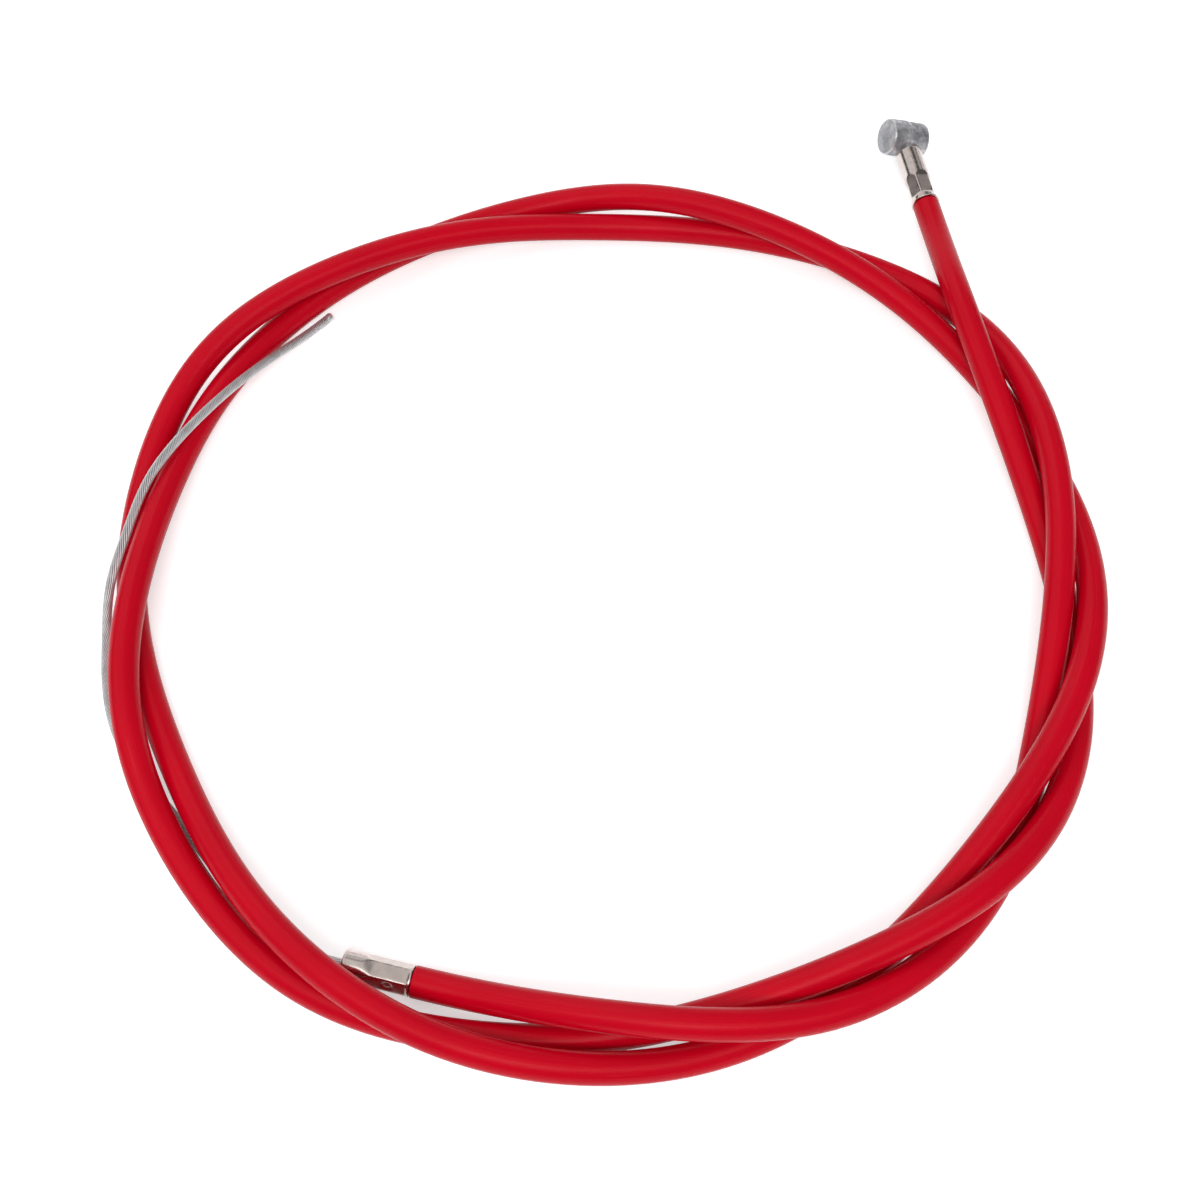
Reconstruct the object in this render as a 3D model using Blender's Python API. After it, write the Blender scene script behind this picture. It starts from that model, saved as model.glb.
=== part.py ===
"""Bicycle brake cable, lying in about two and a half loose turns.

A red housing of three layers (plastic jacket, flat-wire spiral casing, liner) with a crimped ferrule on
each end, and the steel inner wire, which runs all the way through it. The wire's lever end carries a cast
barrel nipple. At the brake end the bare wire comes out and follows the turns back to its fused tip.
Metres, +Z up. The cable lies on z = 0, and the origin is under the middle of its turns.
"""

import math

import bmesh
import bpy
import numpy as np
from mathutils import Matrix, Vector

# Housing and wire, from the inside out
WIRE_DIAMETER = 0.0016
WIRE_CLEARANCE = 0.00015    # wire to liner, all round
LINER_WALL = 0.0002
LAYER_GAP = 0.0001          # between one layer of the housing and the next, all round
CASING_WALL = 0.0005
JACKET_WALL = 0.00065

# Ferrules: drawn cups, flush with the jacket, crimped to six flats on the bared casing
FERRULE_WALL = 0.00033
FERRULE_END_WALL = 0.0005
FERRULE_RIM = 0.0004        # rounding of the closed end's rim
FERRULE_HOLE_CLEARANCE = 0.0002
CRIMP_FLATS = 6
CRIMP_CLEARANCE = 0.00012   # crimped wall to casing
CRIMP_RAMP = 0.0009         # length over which a flat fades into the round wall
CRIMP_MARGIN = 0.0008       # round stretch left at the mouth
LIP_LENGTH = 0.0003
LEVER_FERRULE_LENGTH = 0.0128
LEVER_CRIMP_LENGTH = 0.0062
LEVER_LIP_HEIGHT = 0.0002
LEVER_CRIMP_TURN = math.radians(21)     # ridge between two flats, from straight up
BRAKE_FERRULE_LENGTH = 0.0110
BRAKE_CRIMP_LENGTH = 0.0086
BRAKE_LIP_HEIGHT = 0.00002
BRAKE_CRIMP_TURN = math.radians(30)     # a flat lies uppermost

# Barrel nipple, die cast across the wire
NIPPLE_DIAMETER = 0.0070
NIPPLE_LENGTH = 0.0080
NIPPLE_EDGE = 0.00045       # rounding of the end faces' edges
NIPPLE_DRAFT = 0.00008      # loss of radius from the seam to each end
SEAM_HEIGHT = 0.0001
SEAM_WIDTH = 0.0007
NIPPLE_ROLL = math.radians(21)          # left end up, so it rests on its right end's edge
NIPPLE_HOLD = 0.0048        # length of wire held in the nipple
NIPPLE_RELIEF_RADIUS = 0.0019           # countersink where the wire goes in
NIPPLE_RELIEF_DEPTH = 0.0008

SEAT_GAP = 0.0003           # between pieces that seat on each other
STRAIGHT_END = 0.0025       # the housing leaves each ferrule straight for this far
WIRE_STRAIGHT = 0.0023      # and so does the bare wire
TIP_TAPER = 0.0006          # fused, rounded end of the wire

# Facets
JACKET_SIDES = 12
INNER_SIDES = 8
HOUSING_STATIONS = 78
TAIL_STATIONS = 26
FERRULE_STEPS = 36
NIPPLE_STEPS = 32

# Directions in which the cable leaves its three ends, along the cable from lever to brake
LEVER_AXIS = Vector((0.1745, -0.9846, 0.0)).normalized()
BRAKE_AXIS = Vector((-0.9706, 0.2405, 0.0)).normalized()
TIP_AXIS = Vector((0.674, 0.739, 0.0)).normalized()

# The middle of the turns, in the frame of the routes below
LAY_CENTRE = Vector((0.0006, 0.1422, 0.0))

# Middle line of the housing, from the lever ferrule's mouth to the brake ferrule's mouth
HOUSING_ROUTE = [
    (0.0626, 0.2150, 0.0046), (0.0656, 0.1871, 0.0101), (0.0746, 0.1536, 0.0043),
    (0.0791, 0.1192, 0.0028), (0.0723, 0.0927, 0.0060), (0.0504, 0.0721, 0.0103),
    (0.0130, 0.0589, 0.0040), (-0.0183, 0.0566, 0.0027), (-0.0471, 0.0654, 0.0028),
    (-0.0690, 0.0893, 0.0036), (-0.0776, 0.1180, 0.0089), (-0.0747, 0.1544, 0.0045),
    (-0.0642, 0.1807, 0.0026), (-0.0415, 0.2026, 0.0027), (-0.0085, 0.2161, 0.0034),
    (0.0201, 0.2112, 0.0083), (0.0488, 0.1971, 0.0061), (0.0704, 0.1748, 0.0028),
    (0.0823, 0.1451, 0.0041), (0.0781, 0.1137, 0.0095), (0.0606, 0.0866, 0.0068),
    (0.0368, 0.0639, 0.0027), (0.0089, 0.0523, 0.0042), (-0.0230, 0.0549, 0.0082),
    (-0.0503, 0.0730, 0.0069), (-0.0683, 0.0996, 0.0030), (-0.0796, 0.1309, 0.0026),
    (-0.0782, 0.1641, 0.0032), (-0.0627, 0.1871, 0.0077), (-0.0324, 0.2040, 0.0072),
    (-0.0016, 0.2107, 0.0030), (0.0305, 0.2080, 0.0027), (0.0603, 0.1955, 0.0029),
    (0.0759, 0.1717, 0.0073), (0.0778, 0.1389, 0.0092), (0.0710, 0.1040, 0.0036),
    (0.0594, 0.0771, 0.0034), (0.0345, 0.0590, 0.0085), (0.0017, 0.0580, 0.0097),
    (-0.0285, 0.0651, 0.0026),
]

# Middle line of the bare wire beyond the brake ferrule, to its tip. Its first point is the ferrule's end.
TAIL_ROUTE = [
    (-0.0479, 0.0718, 0.0012), (-0.0551, 0.0777, 0.0009), (-0.0617, 0.0845, 0.0009),
    (-0.0678, 0.0918, 0.0009), (-0.0744, 0.0990, 0.0009), (-0.0797, 0.1072, 0.0009),
    (-0.0824, 0.1162, 0.0009), (-0.0833, 0.1244, 0.0015), (-0.0828, 0.1322, 0.0049),
    (-0.0807, 0.1417, 0.0067), (-0.0777, 0.1518, 0.0079), (-0.0723, 0.1621, 0.0074),
    (-0.0662, 0.1717, 0.0056), (-0.0603, 0.1794, 0.0037), (-0.0556, 0.1853, 0.0017),
    (-0.0503, 0.1913, 0.0009),
]

# Radii that follow from the sizes
WIRE_RADIUS = WIRE_DIAMETER / 2
LINER_INNER = WIRE_RADIUS + WIRE_CLEARANCE
LINER_OUTER = LINER_INNER + LINER_WALL
CASING_INNER = LINER_OUTER + LAYER_GAP
CASING_OUTER = CASING_INNER + CASING_WALL
JACKET_INNER = CASING_OUTER + LAYER_GAP
JACKET_OUTER = JACKET_INNER + JACKET_WALL
FERRULE_OUTER = JACKET_OUTER
FERRULE_BORE = FERRULE_OUTER - FERRULE_WALL
FERRULE_HOLE = WIRE_RADIUS + FERRULE_HOLE_CLEARANCE
CRIMP_APOTHEM = CASING_OUTER + CRIMP_CLEARANCE + FERRULE_WALL
NIPPLE_BORE = WIRE_RADIUS + SEAT_GAP
UP = Vector((0.0, 0.0, 1.0))

# Places that follow from the routes
LEVER_MOUTH = Vector(HOUSING_ROUTE[0]) - LAY_CENTRE
BRAKE_MOUTH = Vector(HOUSING_ROUTE[-1]) - LAY_CENTRE
LEVER_END = LEVER_MOUTH - LEVER_FERRULE_LENGTH * LEVER_AXIS
BRAKE_END = BRAKE_MOUTH + BRAKE_FERRULE_LENGTH * BRAKE_AXIS
NIPPLE_CENTRE = LEVER_END - (NIPPLE_DIAMETER / 2 + SEAM_HEIGHT + SEAT_GAP) * LEVER_AXIS


def clear_scene():
    for obj in list(bpy.data.objects):
        bpy.data.objects.remove(obj, do_unlink=True)


def material(name, colour, roughness, metallic):
    mat = bpy.data.materials.new(name)
    mat.use_nodes = True
    shader = mat.node_tree.nodes["Principled BSDF"]
    shader.inputs["Base Color"].default_value = (*colour, 1.0)
    shader.inputs["Roughness"].default_value = roughness
    shader.inputs["Metallic"].default_value = metallic
    return mat


def mesh_object(name, bm, mat, smooth_below):
    """Turn a bmesh into an object of the scene, smooth where its faces meet flatter than the angle."""
    bmesh.ops.recalc_face_normals(bm, faces=bm.faces)
    mesh = bpy.data.meshes.new(name)
    bm.to_mesh(mesh)
    bm.free()
    mesh.shade_smooth()
    mesh.set_sharp_from_angle(angle=math.radians(smooth_below))
    mesh.materials.append(mat)
    obj = bpy.data.objects.new(name, mesh)
    bpy.context.scene.collection.objects.link(obj)
    return obj


def smooth_line(route, first_axis, last_axis, count):
    """Points at even steps of a smooth curve through the route, leaving its ends along the two axes."""
    points = np.array(route)
    spans = len(points) - 1
    step = float(np.linalg.norm(np.diff(points, axis=0), axis=1).sum()) / spans
    system = np.eye(spans + 1)
    slopes = np.zeros_like(points)
    slopes[0] = step * np.array(first_axis)
    slopes[-1] = step * np.array(last_axis)
    for k in range(1, spans):
        system[k, k - 1:k + 2] = (1.0, 4.0, 1.0)
        slopes[k] = 3.0 * (points[k + 1] - points[k - 1])
    slopes = np.linalg.solve(system, slopes)
    line = []
    for place in np.linspace(0.0, spans, count):
        k = min(int(place), spans - 1)
        t = place - k
        line.append(Vector(
            (2 * t**3 - 3 * t**2 + 1) * points[k] + (3 * t**2 - 2 * t**3) * points[k + 1]
            + (t**3 - 2 * t**2 + t) * slopes[k] + (t**3 - t**2) * slopes[k + 1]))
    return line


def housing_line():
    """The housing's middle line between its ferrules' mouths, without the two mouths themselves."""
    line = smooth_line(HOUSING_ROUTE, LEVER_AXIS, BRAKE_AXIS, HOUSING_STATIONS)
    inner = [point - LAY_CENTRE for point in line[1:-1]]
    first = LEVER_MOUTH + STRAIGHT_END * LEVER_AXIS
    last = BRAKE_MOUTH - STRAIGHT_END * BRAKE_AXIS
    return [first, *inner, last]


def tail_line():
    """The bare wire's middle line, from just outside the brake ferrule to its tip."""
    start = BRAKE_END + WIRE_STRAIGHT * BRAKE_AXIS
    route = [start] + [Vector(point) - LAY_CENTRE for point in TAIL_ROUTE]
    return smooth_line(route, BRAKE_AXIS, TIP_AXIS, TAIL_STATIONS)


def pipe_rings(line, radii, sides):
    """Rings of points around a line, on the mitre planes where its straight runs meet."""
    runs = [(b - a).normalized() for a, b in zip(line, line[1:])]
    across = runs[0].cross(UP).normalized()
    over = across.cross(runs[0])
    angles = [2 * math.pi * k / sides for k in range(sides)]
    spokes = [math.cos(a) * across + math.sin(a) * over for a in angles]
    rings = []
    for k, (centre, radius) in enumerate(zip(line, radii)):
        before = runs[max(k - 1, 0)]
        after = runs[min(k, len(runs) - 1)]
        plane = (before + after).normalized()
        rings.append([centre + radius * (s - before * (s.dot(plane) / before.dot(plane))) for s in spokes])
        turn = before.rotation_difference(after)
        spokes = [turn @ s for s in spokes]
    return rings


def add_tube(bm, rings):
    """Join the rings into a wall, and return the first and last ring of points."""
    rows = [[bm.verts.new(point) for point in ring] for ring in rings]
    for low, high in zip(rows, rows[1:]):
        for k in range(len(low)):
            j = (k + 1) % len(low)
            bm.faces.new((low[k], low[j], high[j], high[k]))
    return rows[0], rows[-1]


def add_annulus(bm, outer, inner):
    for k in range(len(outer)):
        j = (k + 1) % len(outer)
        bm.faces.new((outer[k], outer[j], inner[j], inner[k]))


def layer(name, line, outer, inner, sides, mat):
    """One tubular layer of the housing."""
    bm = bmesh.new()
    outside = add_tube(bm, pipe_rings(line, [outer] * len(line), sides))
    inside = add_tube(bm, pipe_rings(line, [inner] * len(line), sides))
    for rim, bore in zip(outside, inside):
        add_annulus(bm, rim, bore)
    return mesh_object(name, bm, mat, 50)


def wire(name, line, radii, mat):
    """A solid wire with flat ends."""
    bm = bmesh.new()
    first, last = add_tube(bm, pipe_rings(line, radii, INNER_SIDES))
    bm.faces.new(first)
    bm.faces.new(last)
    return mesh_object(name, bm, mat, 50)


def crimped_radius(radius, apothem, angle, turn):
    """Radius of a round wall pressed in to flats that lie at the apothem from its axis."""
    sector = 2 * math.pi / CRIMP_FLATS
    off_flat = (angle - turn) % sector - sector / 2
    return min(radius, apothem / math.cos(off_flat))


def ferrule_sections(length, crimp_length, lip_height):
    """Outer and inner wall as (distance from the closed end, round radius, distance of the flats)."""
    crimp_end = length - CRIMP_MARGIN
    crimp_start = crimp_end - crimp_length
    edges = [(crimp_start, 0.0), (crimp_start + CRIMP_RAMP / 3, 0.55), (crimp_start + CRIMP_RAMP, 1.0),
             (crimp_end - CRIMP_RAMP / 3, 1.0), (crimp_end, 0.0)]
    press = FERRULE_OUTER - CRIMP_APOTHEM
    rim = FERRULE_RIM
    outer = [(0.0, FERRULE_OUTER - rim, FERRULE_OUTER)]
    for turn in (30, 60, 90):
        a = math.radians(turn)
        outer.append((rim * (1 - math.cos(a)), FERRULE_OUTER - rim * (1 - math.sin(a)), FERRULE_OUTER))
    outer += [(place, FERRULE_OUTER, FERRULE_OUTER - press * depth) for place, depth in edges]
    lip = FERRULE_OUTER + lip_height
    outer += [(length - LIP_LENGTH, lip, lip), (length, lip, lip)]
    inner = [(FERRULE_END_WALL, FERRULE_BORE, FERRULE_BORE)]
    inner += [(place, FERRULE_BORE, FERRULE_BORE - press * depth) for place, depth in edges]
    inner.append((length, FERRULE_BORE, FERRULE_BORE))
    return outer, inner


def ferrule(name, end, inward, length, crimp_length, crimp_turn, lip_height, mat):
    """A cup with a wire hole in its closed end, its open end crimped from the middle to the mouth."""
    side = inward.cross(UP).normalized()
    angles = [2 * math.pi * k / FERRULE_STEPS + crimp_turn for k in range(FERRULE_STEPS)]
    spokes = [math.cos(a) * UP + math.sin(a) * side for a in angles]

    def ring(place, radius, apothem):
        radii = [crimped_radius(radius, apothem, a, crimp_turn) for a in angles]
        return [place * inward + r * spoke for r, spoke in zip(radii, spokes)]

    outer, inner = ferrule_sections(length, crimp_length, lip_height)
    bm = bmesh.new()
    face, mouth = add_tube(bm, [ring(*section) for section in outer])
    floor, bore_mouth = add_tube(bm, [ring(*section) for section in inner])
    hole_out, hole_in = add_tube(bm, [ring(s, FERRULE_HOLE, FERRULE_HOLE) for s in (0.0, FERRULE_END_WALL)])
    add_annulus(bm, face, hole_out)
    add_annulus(bm, floor, hole_in)
    add_annulus(bm, mouth, bore_mouth)
    obj = mesh_object(name, bm, mat, 28)
    obj.location = end
    return obj


def turned(profile, steps):
    """A closed solid turned about the X axis from (x, radius) pairs, with a flat disc at each end."""
    bm = bmesh.new()
    rings = []
    for x, radius in profile:
        angles = [2 * math.pi * k / steps for k in range(steps)]
        rings.append([Vector((x, radius * math.cos(a), radius * math.sin(a))) for a in angles])
    first, last = add_tube(bm, rings)
    bm.faces.new(first)
    bm.faces.new(last)
    return bm


def nipple_profile():
    """Half of the barrel from the right end to the seam, then its mirror image to the left end."""
    radius = NIPPLE_DIAMETER / 2
    end_radius = radius - NIPPLE_DRAFT
    half = []
    for turn in (0, 30, 60, 90):
        a = math.radians(turn)
        half.append((-NIPPLE_LENGTH / 2 + NIPPLE_EDGE * (1 - math.cos(a)),
                     end_radius - NIPPLE_EDGE * (1 - math.sin(a))))
    half.append((-SEAM_WIDTH / 2, radius))
    half.append((-SEAM_WIDTH / 6, radius + SEAM_HEIGHT))
    return half + [(-x, r) for x, r in reversed(half)]


def nipple(frame, mat):
    """The barrel, with the wire's blind hole and the countersink at its mouth."""
    barrel = mesh_object("barrel_nipple", turned(nipple_profile(), NIPPLE_STEPS), mat, 35)
    mouth = -NIPPLE_DIAMETER / 2
    slope = (NIPPLE_RELIEF_RADIUS - NIPPLE_BORE) / NIPPLE_RELIEF_DEPTH
    reach = 0.001
    hole = turned([(mouth - reach, NIPPLE_RELIEF_RADIUS + slope * reach),
                   (mouth + NIPPLE_RELIEF_DEPTH, NIPPLE_BORE),
                   (mouth + NIPPLE_HOLD + SEAT_GAP, NIPPLE_BORE)], 24)
    cutter = mesh_object("wire_hole_cutter", hole, mat, 35)
    cutter.hide_render = True
    cutter.display_type = "WIRE"
    cutter.parent = frame
    cutter.rotation_euler = (0.0, 0.0, math.radians(90))
    barrel.parent = frame
    cut = barrel.modifiers.new("wire_hole", "BOOLEAN")
    cut.operation = "DIFFERENCE"
    cut.solver = "EXACT"
    cut.object = cutter
    return barrel


def pull_frame():
    """Empty at the nipple's middle: X along the barrel to its raised end, Y the way the wire is pulled."""
    pull = -LEVER_AXIS
    left = UP.cross(pull)
    barrel = math.cos(NIPPLE_ROLL) * left + math.sin(NIPPLE_ROLL) * UP
    turn = Matrix((barrel, pull, barrel.cross(pull))).transposed().to_4x4()
    frame = bpy.data.objects.new("pull_axis", None)
    frame.empty_display_size = 0.01
    frame.matrix_world = Matrix.Translation(NIPPLE_CENTRE) @ turn
    bpy.context.scene.collection.objects.link(frame)
    return frame


def lever_lead(frame, mat):
    """The wire's first stretch, from inside the nipple to the lever ferrule's mouth."""
    nipple_end = -NIPPLE_DIAMETER / 2 + NIPPLE_HOLD
    reach = (NIPPLE_CENTRE - LEVER_MOUTH).length - SEAT_GAP
    line = [Vector((0.0, nipple_end, 0.0)), Vector((0.0, -reach, 0.0))]
    lead = wire("wire_lever_lead", line, [WIRE_RADIUS] * 2, mat)
    lead.parent = frame
    return lead


def inner_wire(mat):
    """The rest of the wire, through the housing and the brake ferrule, then bare to the fused tip."""
    tail = tail_line()
    before_tip = tail[-1] - TIP_TAPER * (tail[-1] - tail[-2]).normalized()
    line = [LEVER_MOUTH, *housing_line(), *tail[:-1], before_tip, tail[-1]]
    radii = [WIRE_RADIUS] * (len(line) - 1) + [0.6 * WIRE_RADIUS]
    return wire("inner_wire", line, radii, mat)


def housing(jacket_mat, casing_mat, liner_mat):
    middle = housing_line()
    jacket_line = [LEVER_MOUTH + SEAT_GAP * LEVER_AXIS, *middle, BRAKE_MOUTH - SEAT_GAP * BRAKE_AXIS]
    floor = FERRULE_END_WALL + SEAT_GAP
    bared_line = [LEVER_END + floor * LEVER_AXIS, *middle, BRAKE_END - floor * BRAKE_AXIS]
    layer("housing_jacket", jacket_line, JACKET_OUTER, JACKET_INNER, JACKET_SIDES, jacket_mat)
    layer("spiral_casing", bared_line, CASING_OUTER, CASING_INNER, INNER_SIDES, casing_mat)
    layer("inner_liner", bared_line, LINER_OUTER, LINER_INNER, INNER_SIDES, liner_mat)


def main():
    clear_scene()
    red_plastic = material("red_jacket_plastic", (0.60, 0.002, 0.012), 0.32, 0.0)
    spring_steel = material("casing_spring_steel", (0.36, 0.35, 0.34), 0.4, 1.0)
    liner_plastic = material("liner_plastic", (0.75, 0.74, 0.70), 0.5, 0.0)
    wire_steel = material("galvanised_wire", (0.56, 0.56, 0.55), 0.35, 1.0)
    nickel = material("ferrule_nickel", (0.66, 0.63, 0.60), 0.25, 1.0)
    zinc = material("nipple_cast_zinc", (0.44, 0.43, 0.42), 0.55, 1.0)

    housing(red_plastic, spring_steel, liner_plastic)
    inner_wire(wire_steel)
    ferrule("ferrule_lever_end", LEVER_END, LEVER_AXIS, LEVER_FERRULE_LENGTH,
            LEVER_CRIMP_LENGTH, LEVER_CRIMP_TURN, LEVER_LIP_HEIGHT, nickel)
    ferrule("ferrule_brake_end", BRAKE_END, -BRAKE_AXIS, BRAKE_FERRULE_LENGTH,
            BRAKE_CRIMP_LENGTH, BRAKE_CRIMP_TURN, BRAKE_LIP_HEIGHT, nickel)
    frame = pull_frame()
    nipple(frame, zinc)
    lever_lead(frame, wire_steel)


if __name__ == "__main__":
    main()
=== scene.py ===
"""Looks of a bicycle brake cable: smooth red housing, stranded wire, crimped ferrules and cast nipple."""

import math
from typing import NamedTuple

import bpy
import numpy as np
from bpy.props import FloatProperty, FloatVectorProperty, IntProperty, PointerProperty
from bpy.types import Operator, Panel, PropertyGroup
from mathutils import Matrix, Vector, noise


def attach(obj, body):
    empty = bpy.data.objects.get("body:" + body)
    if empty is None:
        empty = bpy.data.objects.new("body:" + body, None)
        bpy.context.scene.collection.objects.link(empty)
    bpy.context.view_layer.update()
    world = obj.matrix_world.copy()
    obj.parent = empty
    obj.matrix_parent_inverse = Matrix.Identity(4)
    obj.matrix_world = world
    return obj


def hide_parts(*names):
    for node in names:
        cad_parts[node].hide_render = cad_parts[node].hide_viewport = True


bl_info = {
    "name": "Brake Cable Looks",
    "version": (1, 0, 0),
    "blender": (4, 5, 0),
    "location": "View3D > Sidebar > Brake Cable",
    "description": "Builds the visible surfaces of a red bicycle brake cable around its packed frame",
    "category": "Object",
}

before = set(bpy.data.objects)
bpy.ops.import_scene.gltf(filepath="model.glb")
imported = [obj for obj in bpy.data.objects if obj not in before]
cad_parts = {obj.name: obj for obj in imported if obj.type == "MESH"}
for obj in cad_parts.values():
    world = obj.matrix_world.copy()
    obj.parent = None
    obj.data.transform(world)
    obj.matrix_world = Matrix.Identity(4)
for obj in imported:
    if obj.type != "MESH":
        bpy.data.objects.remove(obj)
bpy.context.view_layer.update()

# The middle of the turns, in the frame of the routes below
LAY_CENTRE = np.array((0.0006, 0.1422, 0.0))

# Directions of the cable at its lever end, at its brake end and at the wire's tip, from lever to tip
LEVER_AXIS = Vector((0.1745, -0.9846, 0.0)).normalized()
BRAKE_AXIS = Vector((-0.9706, 0.2405, 0.0)).normalized()
TIP_AXIS = Vector((0.674, 0.739, 0.0)).normalized()
UP = Vector((0.0, 0.0, 1.0))

# Middle line of the housing, from the lever ferrule's mouth to the brake ferrule's mouth
HOUSING_ROUTE = [
    (0.0626, 0.2150, 0.0046), (0.0656, 0.1871, 0.0101), (0.0746, 0.1536, 0.0043),
    (0.0791, 0.1192, 0.0028), (0.0723, 0.0927, 0.0060), (0.0504, 0.0721, 0.0103),
    (0.0130, 0.0589, 0.0040), (-0.0183, 0.0566, 0.0027), (-0.0471, 0.0654, 0.0028),
    (-0.0690, 0.0893, 0.0036), (-0.0776, 0.1180, 0.0089), (-0.0747, 0.1544, 0.0045),
    (-0.0642, 0.1807, 0.0026), (-0.0415, 0.2026, 0.0027), (-0.0085, 0.2161, 0.0034),
    (0.0201, 0.2112, 0.0083), (0.0488, 0.1971, 0.0061), (0.0704, 0.1748, 0.0028),
    (0.0823, 0.1451, 0.0041), (0.0781, 0.1137, 0.0095), (0.0606, 0.0866, 0.0068),
    (0.0368, 0.0639, 0.0027), (0.0089, 0.0523, 0.0042), (-0.0230, 0.0549, 0.0082),
    (-0.0503, 0.0730, 0.0069), (-0.0683, 0.0996, 0.0030), (-0.0796, 0.1309, 0.0026),
    (-0.0782, 0.1641, 0.0032), (-0.0627, 0.1871, 0.0077), (-0.0324, 0.2040, 0.0072),
    (-0.0016, 0.2107, 0.0030), (0.0305, 0.2080, 0.0027), (0.0603, 0.1955, 0.0029),
    (0.0759, 0.1717, 0.0073), (0.0778, 0.1389, 0.0092), (0.0710, 0.1040, 0.0036),
    (0.0594, 0.0771, 0.0034), (0.0345, 0.0590, 0.0085), (0.0017, 0.0580, 0.0097),
    (-0.0285, 0.0651, 0.0026),
]

# Middle line of the bare wire, after the stretch that leaves the brake ferrule straight
TAIL_ROUTE = [
    (-0.0479, 0.0718, 0.0012), (-0.0551, 0.0777, 0.0009), (-0.0617, 0.0845, 0.0009),
    (-0.0678, 0.0918, 0.0009), (-0.0744, 0.0990, 0.0009), (-0.0797, 0.1072, 0.0009),
    (-0.0824, 0.1162, 0.0009), (-0.0833, 0.1244, 0.0015), (-0.0828, 0.1322, 0.0049),
    (-0.0807, 0.1417, 0.0067), (-0.0777, 0.1518, 0.0079), (-0.0723, 0.1621, 0.0074),
    (-0.0662, 0.1717, 0.0056), (-0.0603, 0.1794, 0.0037), (-0.0556, 0.1853, 0.0017),
    (-0.0503, 0.1913, 0.0009),
]

# Distance from a cut end of the jacket, and how much its radius falls there
JACKET_EDGE = ((0.00010, 0.00022), (0.00016, 0.00010), (0.00026, 0.00003), (0.00042, 0.0), (0.00100, 0.0))

# Points along a route from which its length is taken
ROUGH_POINTS = 400

# Steps between rings of points, along the housed wire and the bare strands, and between a cord's path points
HOUSED_STEP = 0.0040
STRAND_STEP = 0.0005
HOUSING_PATH_STEP = 0.0040
TAIL_PATH_STEP = 0.0020

# The wire: how far it leaves the brake ferrule straight, how far the lead reaches past the nipple's middle
# and ends short of the housed wire, core and housed wire as shares of its radius, and its tip's dome
STRAIGHT_WIRE = 0.0023
LEAD_PAST_MIDDLE = 0.0013
LEAD_GAP = 0.0003
CORE_SHARE = 0.66
HOUSED_SHARE = 0.94
TIP_DOME = 0.0004

# A ferrule: points round it, thickness of its closed end, where casing and liner stop from that end's
# outside, rounding of its edge, space round the wire, and how deep a wall counts as fully pressed
CUP_SIDES = 144
CUP_FLOOR = 0.0005
LAYERS_STOP = 0.0008
CUP_RIM = 0.0004
WIRE_CLEARANCE = 0.0002
FULL_PRESS = 0.00018

# A ferrule's rolled lip: distance from the mouth, and share of the lip's height
LIP_PROFILE = ((0.00034, 0.0), (0.00026, 0.7), (0.00015, 1.0), (0.00004, 0.8), (0.0, 0.5))

# The nipple: points round it, distance from the ferrule, rounding of its edges, fall of its radius towards
# its ends, the wire entry's radius and depth, and the parting seam's place, width and height
NIPPLE_SIDES = 120
NIPPLE_GAP = 0.0004
NIPPLE_EDGE = 0.00045
NIPPLE_DRAFT = 0.00008
ENTRY_RADIUS = 0.00165
ENTRY_DEPTH = 0.0009
SEAM_PLACE = 0.0002
SEAM_WIDTH = 0.00022
SEAM_HEIGHT = 0.00010

# Where the nipple gets painted highlights besides its seam: a band at each rim, and a glint along and round
# it
RIM_HIGHLIGHT_INSET = 0.00022
RIM_HIGHLIGHT_WIDTH = 0.00016
GLINT_PLACE = 0.0007
GLINT_LENGTH = 0.0005
GLINT_ANGLE = -2.30
GLINT_SPREAD = 0.55


# Settings

class HousingSettings(PropertyGroup):
    jacket_diameter: FloatProperty(
        name="Jacket diameter", description="Outside diameter of the red jacket",
        default=0.0050, unit="LENGTH", precision=5)
    jacket_bore: FloatProperty(
        name="Jacket bore", description="Inside diameter of the red jacket",
        default=0.0037, unit="LENGTH", precision=5)
    casing_diameter: FloatProperty(
        name="Casing diameter", description="Outside diameter of the spiral steel casing",
        default=0.0035, unit="LENGTH", precision=5)
    casing_bore: FloatProperty(
        name="Casing bore", description="Inside diameter of the spiral steel casing",
        default=0.0025, unit="LENGTH", precision=5)
    casing_pitch: FloatProperty(
        name="Casing pitch", description="Advance of the flat strip in one turn",
        default=0.0023, unit="LENGTH", precision=5)
    liner_diameter: FloatProperty(
        name="Liner diameter", description="Outside diameter of the plastic liner",
        default=0.0023, unit="LENGTH", precision=5)
    liner_bore: FloatProperty(
        name="Liner bore", description="Inside diameter of the plastic liner",
        default=0.0019, unit="LENGTH", precision=5)
    station_gap: FloatProperty(
        name="Station gap", description="Distance between rings of points along the jacket",
        default=0.0020, unit="LENGTH", precision=5)
    sides: IntProperty(
        name="Jacket sides", description="Points round the jacket", default=32, min=12)
    red: FloatVectorProperty(
        name="Red", description="Colour of the jacket plastic", subtype="COLOR",
        size=3, default=(0.535, 0.0003, 0.0120))
    roughness: FloatProperty(
        name="Jacket roughness", description="Roughness of the jacket's satin gloss", default=0.27)


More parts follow.
